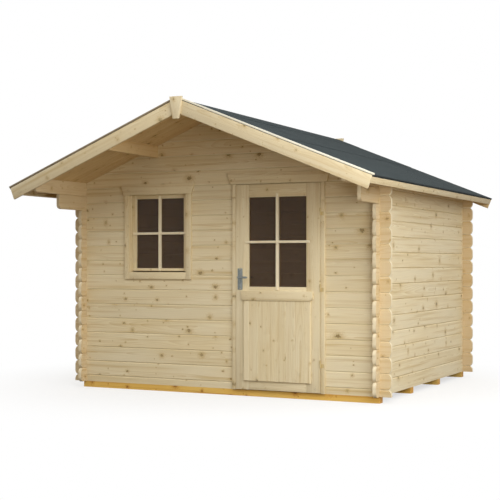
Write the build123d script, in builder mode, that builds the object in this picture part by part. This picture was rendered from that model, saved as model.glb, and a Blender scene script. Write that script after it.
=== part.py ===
from build123d import *
import os
from math import cos, radians, sin, sqrt, tan

# A log garden house: interlocking log walls on joists, a felted gable roof that
# reaches far out over the front, a half glazed door and one front window.
# Millimetres, +Z up. X runs along the front, Y from front to back, and the origin
# is on the ground under the middle of the roof.

# Joists and floor
joist_h = 53
joist_w = 70
joist_count = 4
floor_t = 18

# Logs and log walls
course = 130
first_course_h = 122
full_courses = 13
log_t = 30
seam_groove = 7
fit_gap = 0.4
wall_w = 2856
wall_d = 2420
corner_reach = 88
front_log_reach = 96
log_end_r = 50
log_end_rise = 42
top_log_h = 121.5
bracket_reach = 421
bracket_r = 40

# Roof
roof_pitch = 22
front_overhang = 780
rear_overhang = 230
side_overhang = 202
deck_t = 18
felt_t = 3
felt_drip = 3
purlin_t = 44
purlin_h = 95
purlin_x = 664
ridge_purlin_h = 110
barge_w = 105
barge_t = 18
fascia_h = 61
fascia_t = 18
verge_lath_h = 15
verge_lath_t = 20
verge_lath_reach = 8
finial_h = 178
finial_rise = 15
finial_top_w = 115
finial_foot_w = 55
finial_t = 18

# Doorway and its frame
door_x = 531.5
leaf_w = 773
leaf_t = 40
leaf_proud = 6
leaf_side_gap = 3
leaf_top_gap = 6
leaf_foot_gap = 5.5
stop_gap = 5
jamb_face_w = 36
jamb_proud = 20
jamb_t = 14
stop_w = 16
head_h = 26
threshold_h = 30
header_h = 94
header_t = 20
header_flare = 28
door_header_lap = 20
header_drop = 3

# Door leaf
stile_w = 121
top_rail_h = 109
lock_rail_h = 116
bottom_rail_h = 120
panel_inset = 79
panel_h = 676
panel_t = 16
panel_foot = 78
drip_rail_lap = 21
drip_rail_h = 80
drip_rail_t = 24
drip_rail_bevel = 22
glass_t = 4
glass_gap = 0.3

# Door handle and hinges
plate_w = 44
plate_h = 180
plate_t = 4
plate_x = 41
lever_z = 948
lever_plate_share = 0.58
lever_l = 94
lever_h = 18
lever_t = 12
lever_stand_off = 32
lever_round = 5
spindle_r = 8
spindle_gap = 1
hinge_count = 3
hinge_h = 64
hinge_r = 5
hinge_side = 7
hinge_proud = 10
hinge_plate_t = 2.5
hinge_plate_w = 26
hinge_end_share = 0.12
knuckle_gap = 0.3

# Window
window_x = -642.5
window_w = 603
window_h = 724
window_sill_courses = 7
lining_t = 12
sill_t = 28
lining_d = 72
sash_w = 46
sash_rail_h = 34
sash_t = 38
sash_recess = 32
sash_foot_gap = 10
casing_w = 49
casing_t = 18
casing_lap = 0.5
sill_casing_h = 62
window_header_lap = 10

# One overrun for all cuts
overrun = 60

# Levels and faces that the pieces share
half_w = wall_w / 2
inner_w = half_w - log_t
roof_end_y = (front_overhang + wall_d + rear_overhang) / 2
front_y = front_overhang - roof_end_y
rear_y = front_y + wall_d
front_inner_y = front_y + log_t
rear_inner_y = rear_y - log_t
grid_z = joist_h + first_course_h - course
side_seams = [grid_z + course * k for k in range(full_courses + 1)]
front_seams = [seam + course / 2 for seam in side_seams]
plate_z = side_seams[full_courses]
gable_z = front_seams[full_courses]
pitch = radians(roof_pitch)
ridge_z = plate_z + top_log_h + inner_w * tan(pitch)
eave_run = (half_w + side_overhang) / cos(pitch)
verge_run = eave_run + fascia_t
barge_back_y = roof_end_y - barge_t
notch_h = course / 2 + fit_gap
log_round = (log_end_r, log_end_rise)
bracket_round = (bracket_r, bracket_r)

os.makedirs("parts", exist_ok=True)


def save(piece, name):
    """Label a finished piece and write it as one file."""
    piece.part.label = name
    export_step(piece.part, f"parts/{name}.step")


def block(x_span, y_span, z_span, mode=Mode.ADD):
    """A plain block that fills the three spans."""
    with BuildSketch(Plane.XY.offset(z_span[0])) as footprint:
        with Locations((sum(x_span) / 2, sum(y_span) / 2)):
            Rectangle(x_span[1] - x_span[0], y_span[1] - y_span[0])
    extrude(footprint.sketch, amount=z_span[1] - z_span[0], mode=mode)


def prism_y(points, y_span, mode=Mode.ADD):
    """An outline in X and Z, drawn out between two places along Y."""
    with BuildSketch(Plane.XZ.offset(-y_span[1])) as outline:
        Polygon(*points, align=None)
    extrude(outline.sketch, amount=y_span[1] - y_span[0], mode=mode)


def round_depth(rounding):
    """How far a log end's rounding reaches back from the end."""
    radius, rise = rounding
    return radius - sqrt(radius**2 - rise**2)


def log_face(start, end, low, high, start_rounds=(None, None), end_rounds=(None, None)):
    """One log in elevation; each end has a lower and an upper rounding, or none."""
    corners = []
    for tip, inward, rounds in ((start, 1, start_rounds), (end, -1, end_rounds)):
        for level, upward, rounding in ((low, 1, rounds[0]), (high, -1, rounds[1])):
            back = round_depth(rounding) if rounding else 0
            rise = rounding[1] if rounding else 0
            corners.append(((tip + inward * back, level), (tip, level + upward * rise), upward))
    start_low, start_high, end_low, end_high = corners
    with BuildLine() as outline:
        Line(start_low[0], end_low[0])
        Line(start_high[0], end_high[0])
        Line(start_low[1], start_high[1])
        Line(end_low[1], end_high[1])
        for on_level, on_tip, upward in corners:
            if on_level != on_tip:
                TangentArc(on_tip, on_level, tangent=(0, -upward))
    make_face(outline.edges())


def log_level(low, high):
    """The height that one log fills between two seams, with half a gap at each."""
    return max(low + fit_gap / 2, joist_h), high - fit_gap / 2


def cut_grooves_along_y(faces_x, seams, y_span):
    """V grooves at the seams of a wall that runs along Y."""
    side = seam_groove * sqrt(2)
    with BuildSketch(Plane.XZ.offset(-y_span[1])) as grooves:
        with Locations(*[(x, z) for x in faces_x for z in seams]):
            Rectangle(side, side, rotation=45)
    extrude(grooves.sketch, amount=y_span[1] - y_span[0], mode=Mode.SUBTRACT)


def cut_grooves_along_x(faces_y, seams, x_span):
    """V grooves at the seams of a wall that runs along X."""
    side = seam_groove * sqrt(2)
    with BuildSketch(Plane.YZ.offset(x_span[0])) as grooves:
        with Locations(*[(y, z) for y in faces_y for z in seams]):
            Rectangle(side, side, rotation=45)
    extrude(grooves.sketch, amount=x_span[1] - x_span[0], mode=Mode.SUBTRACT)


def on_slope(side, along, above):
    """A point in X and Z: along the roof slope from the ridge, above the deck's underside."""
    x = along * cos(pitch) + above * sin(pitch)
    return side * x, ridge_z - along * sin(pitch) + above * cos(pitch)


def at_ridge(side, above):
    """The point above the deck's underside where a roof piece ends at the ridge."""
    x = fit_gap / 2
    return side * x, ridge_z - x * tan(pitch) + above / cos(pitch)


def slope_outline(side, run, low, high):
    """A roof piece in section, from the ridge down the slope, between two heights above it."""
    return [at_ridge(side, low), on_slope(side, run, low), on_slope(side, run, high), at_ridge(side, high)]


def under_roof(x):
    """Height of the deck's underside, less a fitting gap, at a place along X."""
    return ridge_z - abs(x) * tan(pitch) - fit_gap


def cut_above_roof(y_span):
    """Cut away all that would reach through the deck's underside."""
    far = half_w + side_overhang
    top = ridge_z + overrun
    outline = [(-far, under_roof(far)), (0, under_roof(0)), (far, under_roof(far)), (far, top), (-far, top)]
    prism_y(outline, y_span, mode=Mode.SUBTRACT)


# Joists from left to right, spread from the front wall to the rear wall
joist_pitch = (wall_d - joist_w) / (joist_count - 1)
for number in range(joist_count):
    joist_y = front_y + joist_pitch * number
    with BuildPart() as joist:
        block((-half_w, half_w), (joist_y, joist_y + joist_w), (0, joist_h))
    save(joist, f"floor_joist_{number + 1}")

# Floor boards inside the walls
with BuildPart() as floor_boards:
    block(
        (-inner_w + fit_gap, inner_w - fit_gap),
        (front_inner_y + fit_gap, rear_inner_y - fit_gap),
        (joist_h, joist_h + floor_t),
    )
save(floor_boards, "floor_boards")


# Side walls: logs notched over the front and rear walls; the two top logs carry the overhang
def side_wall(outer_x):
    """All logs of one side wall, from its outer face at outer_x inwards."""
    low_x = min(outer_x, outer_x - log_t if outer_x > 0 else outer_x + log_t)
    log_start = front_y - corner_reach
    log_end = rear_y + corner_reach
    with BuildPart() as wall:
        with BuildSketch(Plane.YZ.offset(low_x)):
            for low, high in zip(side_seams[:-2], side_seams[1:-1]):
                log_face(log_start, log_end, *log_level(low, high), (log_round,) * 2, (log_round,) * 2)
            log_face(
                front_y - bracket_reach,
                log_end,
                *log_level(side_seams[-2], plate_z),
                (bracket_round, None),
                (log_round,) * 2,
            )
            plate_log_end = barge_back_y - fit_gap
            plate_level = (plate_z + fit_gap / 2, plate_z + course)
            log_face(-plate_log_end, plate_log_end, *plate_level, (bracket_round, None))
        extrude(amount=log_t)
        cut_above_roof((-roof_end_y, roof_end_y))
        cut_grooves_along_y((low_x, low_x + log_t), side_seams[1:], (-roof_end_y, roof_end_y))
        with BuildSketch(Plane.YZ.offset(low_x)):
            middles = [(front_y + front_inner_y) / 2, (rear_y + rear_inner_y) / 2]
            with Locations(*[(y, z) for y in middles for z in side_seams]):
                Rectangle(log_t + 2 * fit_gap, notch_h)
        extrude(amount=log_t, mode=Mode.SUBTRACT)
    return wall


save(side_wall(-half_w), "left_wall_logs")
save(side_wall(half_w), "right_wall_logs")

# Doorway: the leaf's place, the frame around it and the opening in the logs
leaf_left = door_x - leaf_w / 2
leaf_right = door_x + leaf_w / 2
frame_left = leaf_left - leaf_side_gap
frame_right = leaf_right + leaf_side_gap
doorway_left = frame_left - jamb_t
doorway_right = frame_right + jamb_t
casing_left = frame_left - jamb_face_w
casing_right = frame_right + jamb_face_w
frame_front_y = front_y - jamb_proud
leaf_front_y = frame_front_y - leaf_proud
leaf_back_y = leaf_front_y + leaf_t
stop_y = leaf_back_y + stop_gap
header_z = gable_z - header_drop
leaf_foot_z = joist_h + leaf_foot_gap
leaf_top_z = header_z - leaf_top_gap

# Window: the opening in the logs
window_left = window_x - window_w / 2
window_right = window_x + window_w / 2
window_low = front_seams[window_sill_courses]
window_high = window_low + window_h


# Front and rear walls: a half log, then full logs, notched over the side walls
def wall_along_x(back_y, start, end, rounded_start, rounded_end):
    """The logs of a front or rear wall between two places along X, with notched corners."""
    start_rounds = (log_round,) * 2 if rounded_start else (None, None)
    end_rounds = (log_round,) * 2 if rounded_end else (None, None)
    with BuildPart() as wall:
        with BuildSketch(Plane.XZ.offset(-back_y)):
            half_log = log_level(grid_z, front_seams[0])
            log_face(start, end, *half_log, (None, start_rounds[1]), (None, end_rounds[1]))
            for low, high in zip(front_seams[:-1], front_seams[1:]):
                log_face(start, end, *log_level(low, high), start_rounds, end_rounds)
        extrude(amount=log_t)
        cut_grooves_along_x((back_y - log_t, back_y), front_seams, (start, end))
        with BuildSketch(Plane.XZ.offset(-back_y)):
            middle = half_w - log_t / 2
            with Locations(*[(x, z) for x in (-middle, middle) for z in front_seams]):
                Rectangle(log_t + 2 * fit_gap, notch_h)
        extrude(amount=log_t, mode=Mode.SUBTRACT)
    return wall


wall_reach = half_w + front_log_reach
front_left = wall_along_x(front_inner_y, -wall_reach, doorway_left - fit_gap, True, False)
with BuildPart() as front_wall_left_logs:
    add(front_left.part)
    block(
        (window_left, window_right),
        (front_y - overrun, front_inner_y + overrun),
        (window_low, window_high),
        mode=Mode.SUBTRACT,
    )
save(front_wall_left_logs, "front_wall_left_logs")
save(wall_along_x(front_inner_y, doorway_right + fit_gap, wall_reach, False, True), "front_wall_right_logs")
save(wall_along_x(rear_y, -wall_reach, wall_reach, True, True), "rear_wall_logs")

# Purlins that carry the roof deck between the barge boards
purlin_z = ridge_z - purlin_x * tan(pitch) - purlin_h
ridge_purlin_z = ridge_z - ridge_purlin_h
purlin_span = (-barge_back_y + fit_gap, barge_back_y - fit_gap)
for side, name in ((-1, "left_purlin"), (1, "right_purlin")):
    near = side * (purlin_x - purlin_t / 2)
    away = side * (purlin_x + purlin_t / 2)
    with BuildPart() as purlin:
        prism_y(
            [(near, purlin_z), (away, purlin_z), (away, under_roof(away)), (near, under_roof(near))],
            purlin_span,
        )
    save(purlin, name)
with BuildPart() as ridge_purlin:
    edge = purlin_t / 2
    prism_y(
        [
            (-edge, ridge_purlin_z),
            (edge, ridge_purlin_z),
            (edge, under_roof(edge)),
            (0, under_roof(0)),
            (-edge, under_roof(edge)),
        ],
        purlin_span,
    )
save(ridge_purlin, "ridge_purlin")


# Gables: logs between the side walls, cut to the roof and notched for the purlins
def gable(back_y):
    """The logs over the top full log of a front or rear wall."""
    rows = int((ridge_z - gable_z) / course) + 1
    seams = [gable_z + course * row for row in range(rows + 1)]
    with BuildPart() as logs:
        with BuildSketch(Plane.XZ.offset(-back_y)):
            for low, high in zip(seams[:-1], seams[1:]):
                log_face(-inner_w + fit_gap, inner_w - fit_gap, *log_level(low, high))
        extrude(amount=log_t)
        cut_above_roof((back_y - log_t - overrun, back_y + overrun))
        cut_grooves_along_x((back_y - log_t, back_y), seams, (-inner_w, inner_w))
        notch_w = purlin_t + 2 * fit_gap
        for x, z in ((-purlin_x, purlin_z), (0, ridge_purlin_z), (purlin_x, purlin_z)):
            block(
                (x - notch_w / 2, x + notch_w / 2),
                (back_y - log_t - overrun, back_y + overrun),
                (z - fit_gap, ridge_z + overrun),
                mode=Mode.SUBTRACT,
            )
    return logs


save(gable(front_inner_y), "front_gable_logs")
save(gable(rear_y), "rear_gable_logs")

# Roof deck, felt, eave fascias, barge boards and front verge laths, the same on both slopes
deck_top = deck_t
felt_top = deck_t + felt_t
lath_top = felt_top + verge_lath_h
for side, name in ((-1, "left"), (1, "right")):
    with BuildPart() as deck:
        prism_y(slope_outline(side, eave_run, 0, deck_top), (-barge_back_y, barge_back_y))
    save(deck, f"{name}_roof_deck")
    with BuildPart() as felt:
        prism_y(slope_outline(side, verge_run + felt_drip, deck_top, felt_top), (-roof_end_y, roof_end_y))
    save(felt, f"{name}_roof_felt")
    with BuildPart() as fascia:
        prism_y(
            [
                on_slope(side, eave_run, deck_top - fascia_h),
                on_slope(side, verge_run, deck_top - fascia_h),
                on_slope(side, verge_run, deck_top),
                on_slope(side, eave_run, deck_top),
            ],
            (-barge_back_y, barge_back_y),
        )
    save(fascia, f"{name}_eave_fascia")
    for end, place in ((-1, "front"), (1, "rear")):
        barge_span = sorted((end * barge_back_y, end * roof_end_y))
        with BuildPart() as barge:
            prism_y(slope_outline(side, verge_run, deck_top - barge_w, deck_top), barge_span)
        save(barge, f"{place}_{name}_barge_board")
    with BuildPart() as lath:
        lath_span = (-roof_end_y, verge_lath_t - roof_end_y)
        prism_y(slope_outline(side, verge_run + verge_lath_reach, felt_top, lath_top), lath_span)
    save(lath, f"front_{name}_verge_lath")

# Wedge shaped finial boards where the barge boards meet
finial_top_z = ridge_z + deck_t / cos(pitch) + finial_rise
for end, place in ((-1, "front"), (1, "rear")):
    with BuildPart() as finial:
        prism_y(
            [
                (-finial_top_w / 2, finial_top_z),
                (-finial_foot_w / 2, finial_top_z - finial_h),
                (finial_foot_w / 2, finial_top_z - finial_h),
                (finial_top_w / 2, finial_top_z),
            ],
            sorted((end * roof_end_y, end * (roof_end_y + finial_t))),
        )
    save(finial, f"{place}_finial")


# Door frame: rebated jambs around the log ends, a head and a threshold behind the leaf
def jamb(edge_x, outward):
    """A jamb whose leaf side is at edge_x; outward is -1 on the left and 1 on the right."""
    with BuildPart() as post:
        with BuildSketch(Plane.XY.offset(joist_h)):
            Polygon(
                (edge_x, frame_front_y),
                (edge_x + outward * jamb_face_w, frame_front_y),
                (edge_x + outward * jamb_face_w, front_y),
                (edge_x + outward * jamb_t, front_y),
                (edge_x + outward * jamb_t, front_inner_y),
                (edge_x - outward * stop_w, front_inner_y),
                (edge_x - outward * stop_w, stop_y),
                (edge_x, stop_y),
                align=None,
            )
        extrude(amount=header_z - fit_gap - joist_h)
    return post


save(jamb(frame_left, -1), "door_left_jamb")
save(jamb(frame_right, 1), "door_right_jamb")
clear_left = frame_left + stop_w
clear_right = frame_right - stop_w
with BuildPart() as door_head:
    block(
        (clear_left + fit_gap, clear_right - fit_gap),
        (stop_y, front_inner_y),
        (gable_z - head_h, gable_z - fit_gap),
    )
save(door_head, "door_head")
with BuildPart() as threshold:
    block(
        (clear_left + fit_gap, clear_right - fit_gap),
        (stop_y, front_inner_y),
        (joist_h, joist_h + threshold_h),
    )
save(threshold, "door_threshold")


# Header boards over the door and the window, with ends that flare out to the top
def header_board(left, right, low):
    """A header board on the front wall, from its lower edge's ends."""
    with BuildPart() as board:
        prism_y(
            [
                (left, low),
                (right, low),
                (right + header_flare, low + header_h),
                (left - header_flare, low + header_h),
            ],
            (front_y - header_t, front_y),
        )
    return board


save(header_board(casing_left - door_header_lap, casing_right + door_header_lap, header_z), "door_header")

# Door leaf: stiles and rails around a glazed field and a boarded field
left_stile_x = leaf_left + stile_w
right_stile_x = leaf_right - stile_w
leaf_y = (leaf_front_y, leaf_back_y)
rail_x = (left_stile_x, right_stile_x)
bottom_rail_top = leaf_foot_z + bottom_rail_h
panel_left = leaf_left + panel_inset
panel_right = leaf_right - panel_inset
panel_low = leaf_foot_z + panel_foot
panel_high = panel_low + panel_h
lock_rail_top = panel_high + lock_rail_h
top_rail_low = leaf_top_z - top_rail_h
spindle_x = leaf_left + plate_x
spindle_z = leaf_foot_z + lever_z
with BuildPart() as left_stile:
    block((leaf_left, left_stile_x), leaf_y, (leaf_foot_z, leaf_top_z))
    with BuildSketch(Plane.XZ.offset(-leaf_back_y)):
        with Locations((spindle_x, spindle_z)):
            Circle(spindle_r + spindle_gap)
    extrude(amount=leaf_t, mode=Mode.SUBTRACT)
save(left_stile, "door_left_stile")
with BuildPart() as right_stile:
    block((right_stile_x, leaf_right), leaf_y, (leaf_foot_z, leaf_top_z))
save(right_stile, "door_right_stile")
rails = {
    "door_bottom_rail": (leaf_foot_z, bottom_rail_top),
    "door_lock_rail": (panel_high, lock_rail_top),
    "door_top_rail": (top_rail_low, leaf_top_z),
}
for name, rail_z in rails.items():
    with BuildPart() as rail:
        block(rail_x, leaf_y, rail_z)
    save(rail, name)
with BuildPart() as door_panel:
    block((panel_left, panel_right), (leaf_front_y - panel_t, leaf_front_y), (panel_low, panel_high))
save(door_panel, "door_panel")
with BuildPart() as drip_rail:
    drip_left = panel_left - drip_rail_lap
    drip_right = panel_right + drip_rail_lap
    prism_y(
        [
            (drip_left + drip_rail_bevel, panel_high),
            (drip_right - drip_rail_bevel, panel_high),
            (drip_right, panel_high + drip_rail_bevel),
            (drip_right, panel_high + drip_rail_h),
            (drip_left, panel_high + drip_rail_h),
            (drip_left, panel_high + drip_rail_bevel),
        ],
        (leaf_front_y - drip_rail_t, leaf_front_y),
    )
save(drip_rail, "door_drip_rail")
glass_y = (leaf_front_y + leaf_back_y) / 2
with BuildPart() as door_glass:
    block(
        (left_stile_x + glass_gap, right_stile_x - glass_gap),
        (glass_y - glass_t / 2, glass_y + glass_t / 2),
        (lock_rail_top + glass_gap, top_rail_low - glass_gap),
    )
save(door_glass, "door_glass")

# Handle plates on both faces of the leaf
with BuildPart() as handle_plates:
    plate_low = spindle_z - plate_h * lever_plate_share
    for face_y, outward in ((leaf_front_y, -1), (leaf_back_y, 1)):
        plate_span = sorted((face_y, face_y + outward * plate_t))
        block(
            (spindle_x - plate_w / 2, spindle_x + plate_w / 2),
            plate_span,
            (plate_low, plate_low + plate_h),
        )
    with BuildSketch(Plane.XZ.offset(-leaf_back_y - plate_t)):
        with Locations((spindle_x, spindle_z)):
            Circle(spindle_r + spindle_gap)
    extrude(amount=leaf_t + 2 * plate_t, mode=Mode.SUBTRACT)
save(handle_plates, "door_handle_plates")

# The lever handles on their spindle, which turns in the leaf
lever_front_y = leaf_front_y - plate_t - lever_stand_off
lever_back_y = leaf_back_y + plate_t + lever_stand_off
with BuildPart() as handle_lever:
    with BuildSketch(Plane.XZ.offset(-lever_back_y)):
        with Locations((spindle_x, spindle_z)):
            Circle(spindle_r)
    extrude(amount=lever_back_y - lever_front_y)
    for lever_span in ((lever_front_y - lever_t, lever_front_y), (lever_back_y, lever_back_y + lever_t)):
        with BuildSketch(Plane.XZ.offset(-lever_span[1])):
            with Locations((spindle_x + lever_l / 2 - lever_h / 2, spindle_z)):
                RectangleRounded(lever_l, lever_h, lever_round)
        extrude(amount=lever_t)
save(handle_lever, "door_handle_lever")

# Hinges in the corner between the proud leaf and the jamb: fixed and moving knuckles
hinge_x = leaf_right + hinge_side
hinge_y = frame_front_y - hinge_proud
leaf_h = leaf_top_z - leaf_foot_z
hinge_low = leaf_foot_z + leaf_h * hinge_end_share
hinge_pitch = (leaf_h * (1 - 2 * hinge_end_share) - hinge_h) / (hinge_count - 1)
hinge_feet = [hinge_low + hinge_pitch * number for number in range(hinge_count)]
knuckle_h = (hinge_h - knuckle_gap) / 2
with BuildPart() as fixed_hinges:
    for foot in hinge_feet:
        with BuildSketch(Plane.XY.offset(foot)):
            with Locations((hinge_x, hinge_y)):
                Circle(hinge_r)
        extrude(amount=knuckle_h)
        block(
            (hinge_x, hinge_x + hinge_plate_w),
            (frame_front_y - hinge_plate_t, frame_front_y),
            (foot, foot + knuckle_h),
        )
        block(
            (hinge_x, hinge_x + hinge_r),
            (hinge_y, frame_front_y),
            (foot, foot + knuckle_h),
        )
save(fixed_hinges, "door_fixed_hinges")
with BuildPart() as moving_hinges:
    for foot in hinge_feet:
        knuckle_foot = foot + knuckle_h + knuckle_gap
        with BuildSketch(Plane.XY.offset(knuckle_foot)):
            with Locations((hinge_x, hinge_y)):
                Circle(hinge_r)
        extrude(amount=knuckle_h)
        block(
            (leaf_right, leaf_right + hinge_plate_t),
            (hinge_y - hinge_r, hinge_y - hinge_r + hinge_plate_w),
            (knuckle_foot, knuckle_foot + knuckle_h),
        )
        block(
            (leaf_right, hinge_x),
            (hinge_y - hinge_r, hinge_y),
            (knuckle_foot, knuckle_foot + knuckle_h),
        )
save(moving_hinges, "door_moving_hinges")

# Window: a lining through the wall, a sash with glass in it, casing boards and a header
lining_low = window_low + fit_gap
lining_high = window_high - fit_gap
lining_left = window_left + fit_gap
lining_right = window_right - fit_gap
sight_left = window_left + lining_t
sight_right = window_right - lining_t
sight_low = window_low + sill_t
sight_high = window_high - lining_t
lining_y = (front_y, front_y + lining_d)
with BuildPart() as window_lining:
    for upright_x in ((lining_left, sight_left), (sight_right, lining_right)):
        block(upright_x, lining_y, (lining_low, lining_high))
    for level_z in ((lining_low, sight_low), (sight_high, lining_high)):
        block((sight_left + fit_gap, sight_right - fit_gap), lining_y, level_z)
save(window_lining, "window_lining")
sash_y = front_y + sash_recess
pane_x = (sight_left + sash_w, sight_right - sash_w)
pane_z = (sight_low + sash_rail_h, sight_high - sash_rail_h)
sash_low = sight_low + sash_foot_gap
sash_high = sight_high - fit_gap
with BuildPart() as window_sash:
    for stile_x in ((sight_left + fit_gap, pane_x[0]), (pane_x[1], sight_right - fit_gap)):
        block(stile_x, (sash_y, sash_y + sash_t), (sash_low, sash_high))
    for rail_z in ((sash_low, pane_z[0]), (pane_z[1], sash_high)):
        block((pane_x[0] + fit_gap, pane_x[1] - fit_gap), (sash_y, sash_y + sash_t), rail_z)
save(window_sash, "window_sash")
pane_y = sash_y + sash_t / 2
with BuildPart() as window_glass:
    block(
        (pane_x[0] + glass_gap, pane_x[1] - glass_gap),
        (pane_y - glass_t / 2, pane_y + glass_t / 2),
        (pane_z[0] + glass_gap, pane_z[1] - glass_gap),
    )
save(window_glass, "window_glass")
casing_y = (front_y - casing_t, front_y)
casing_low = sight_low - sill_casing_h
casing_inner_left = sight_left + casing_lap
casing_inner_right = sight_right - casing_lap
casing_outer_left = casing_inner_left - casing_w
casing_outer_right = casing_inner_right + casing_w
side_casing_z = (sight_low + fit_gap, sight_high - fit_gap)
with BuildPart() as window_casing:
    block((casing_outer_left, casing_inner_left), casing_y, side_casing_z)
    block((casing_inner_right, casing_outer_right), casing_y, side_casing_z)
    block((casing_outer_left, casing_outer_right), casing_y, (casing_low, sight_low))
save(window_casing, "window_casing")
window_header_left = casing_outer_left - window_header_lap
window_header_right = casing_outer_right + window_header_lap
save(header_board(window_header_left, window_header_right, sight_high), "window_header")
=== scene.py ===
# %% [markdown]
# A small log garden house, dressed in Blender.
# The imported CAD model gives every piece its place and size: walls of interlocking logs, a felted gable roof,
# a half glazed door on hinges and a barred window. This lesson adds what the solids leave out, which is
# grain, knots, board joints, glazing bars, screws, light and a camera. Loading the frame comes first, because
# all else is set against its pieces.

# %% Load the frame
import math

import bmesh
import bpy
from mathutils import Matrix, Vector


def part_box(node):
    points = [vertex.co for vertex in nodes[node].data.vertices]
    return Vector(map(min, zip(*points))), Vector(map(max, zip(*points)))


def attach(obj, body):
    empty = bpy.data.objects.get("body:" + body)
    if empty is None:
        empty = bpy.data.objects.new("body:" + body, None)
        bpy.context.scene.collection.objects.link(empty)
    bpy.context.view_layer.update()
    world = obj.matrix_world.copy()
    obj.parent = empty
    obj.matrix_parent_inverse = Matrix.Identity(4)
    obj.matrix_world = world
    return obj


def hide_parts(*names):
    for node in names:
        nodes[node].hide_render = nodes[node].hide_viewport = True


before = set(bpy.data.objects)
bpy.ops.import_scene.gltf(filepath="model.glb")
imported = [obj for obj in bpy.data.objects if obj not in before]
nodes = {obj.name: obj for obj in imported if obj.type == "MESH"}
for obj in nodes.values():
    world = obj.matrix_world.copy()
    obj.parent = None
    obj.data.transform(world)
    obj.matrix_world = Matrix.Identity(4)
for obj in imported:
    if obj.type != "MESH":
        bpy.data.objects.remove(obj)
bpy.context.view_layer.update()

scene = bpy.context.scene

# %% [markdown]
# The photo was taken level, from a little over one metre up and well to the right of the front. A level
# camera keeps all uprights parallel, and the picture is framed by shifting the sensor instead of by tilting
# it. The lens and place were solved from the log seams and the corner edges, so they are entered as plain
# numbers. An operator acts on all that is selected, so the selection is cleared before anything is added.

# %% Camera
def clear_selection():
    if bpy.context.object and bpy.context.object.mode != "OBJECT":
        bpy.ops.object.mode_set(mode="OBJECT")
    bpy.ops.object.select_all(action="DESELECT")


camera_place = (4.5567, -9.5648, 1.1314)
camera_turn = math.radians(26.4374)
lens_mm = 81.86
upward_shift = 0.0253
clear_selection()
bpy.ops.object.camera_add(location=camera_place, rotation=(math.pi / 2, 0, camera_turn))
camera = bpy.context.object
camera.name = "camera"
camera.data.sensor_width = 36
camera.data.lens = lens_mm
camera.data.shift_y = upward_shift
scene.camera = camera
print("camera at", camera_place)

# %% [markdown]
# Node trees are easier to read when each step is one short line. These helpers add a node, link a socket or
# give it a plain value, feed a node's sockets in their order, and do one piece of arithmetic. A colour is
# written as it looks on a screen, from 0 to 255, and is turned into the linear values that a shader works
# with.

# %% Node helpers: colours, nodes and sockets
def tone(red, green, blue):
    """A screen colour as linear red, green, blue and alpha."""
    linear = []
    for value in (red, green, blue):
        share = value / 255
        linear.append(share / 12.92 if share < 0.04045 else ((share + 0.055) / 1.055) ** 2.4)
    return (*linear, 1)


def add_node(tree, kind, **settings):
    node = tree.nodes.new("ShaderNode" + kind)
    for name, value in settings.items():
        setattr(node, name, value)
    return node


def feed(tree, socket, source):
    """Link a source socket to a socket, or set the socket to a plain value."""
    if isinstance(source, bpy.types.NodeSocket):
        tree.links.new(source, socket)
    else:
        socket.default_value = source


def feed_all(tree, node, sources):
    """Feed a node's sockets by their names."""
    for name, source in sources.items():
        feed(tree, node.inputs[name], source)


def wired(tree, kind, *sources, **settings):
    """A new node with its sockets fed in their order. Returns its first output."""
    node = add_node(tree, kind, **settings)
    for socket, source in zip(node.inputs, sources):
        feed(tree, socket, source)
    return node.outputs[0]


print("white is", tone(255, 255, 255))

# %% Node helpers: arithmetic, places and textures
def calc(tree, operation, *sources):
    return wired(tree, "Math", *sources, operation=operation)


def scaled(tree, value, factor, added):
    return calc(tree, "MULTIPLY_ADD", value, factor, added)


def stretch(tree, place, factors):
    return wired(tree, "VectorMath", place, factors, operation="MULTIPLY")


def length_of(tree, vector):
    node = add_node(tree, "VectorMath", operation="LENGTH")
    feed(tree, node.inputs[0], vector)
    return node.outputs["Value"]


def split_up(tree, kind, source):
    """The three parts of a place, with kind XYZ, or of a colour, with kind Color."""
    node = add_node(tree, "Separate" + kind)
    feed(tree, node.inputs[0], source)
    return node.outputs


def object_place(tree):
    return add_node(tree, "TexCoord").outputs["Object"]


def noise(tree, place, scale=1.0, detail=2.0, roughness=0.5):
    node = add_node(tree, "TexNoise")
    feed_all(tree, node, {"Vector": place, "Scale": scale, "Detail": detail, "Roughness": roughness})
    return node.outputs["Fac"]


def voronoi(tree, place, scale, **settings):
    node = add_node(tree, "TexVoronoi", **settings)
    feed_all(tree, node, {"Vector": place, "Scale": scale})
    return node.outputs


def step_between(tree, value, low, high, at_low=0.0, at_high=1.0):
    """A smooth step from at_low to at_high while the value goes from low to high."""
    return wired(tree, "MapRange", value, low, high, at_low, at_high, interpolation_type="SMOOTHSTEP")


def mix_colour(tree, share, first, second, blend="MIX"):
    node = add_node(tree, "Mix", data_type="RGBA", blend_type=blend)
    for index, source in ((0, share), (6, first), (7, second)):
        feed(tree, node.inputs[index], source)
    return node.outputs[2]


print("node helpers ready")

# %% [markdown]
# The house stands on a plain pale floor in soft light. The photo's ground is pure white, but hardly any light
# comes up from it: the roof's underside is dark. So the floor and the sky show white to the camera and in
# reflections, while the light that bounces off the floor is that of a duller, warmer ground. The light of the
# sky itself is weaker and warmer towards the horizon, which is the part that reaches under the roof, and
# stronger overhead, where it draws a bright line on the upper edge of every log. Near the house a share of
# plain shading stays in the floor for the shadow, and it fades out with the distance so that no horizon
# shows.

# %% Sky
def seen_directly(tree):
    """1 for camera, mirror and glass rays, which show the background, and 0 for the light that fills."""
    path = add_node(tree, "LightPath").outputs
    rays = calc(tree, "ADD", path["Is Camera Ray"], path["Is Glossy Ray"])
    return calc(tree, "MINIMUM", calc(tree, "ADD", rays, path["Is Transmission Ray"]), 1.0)


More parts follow.
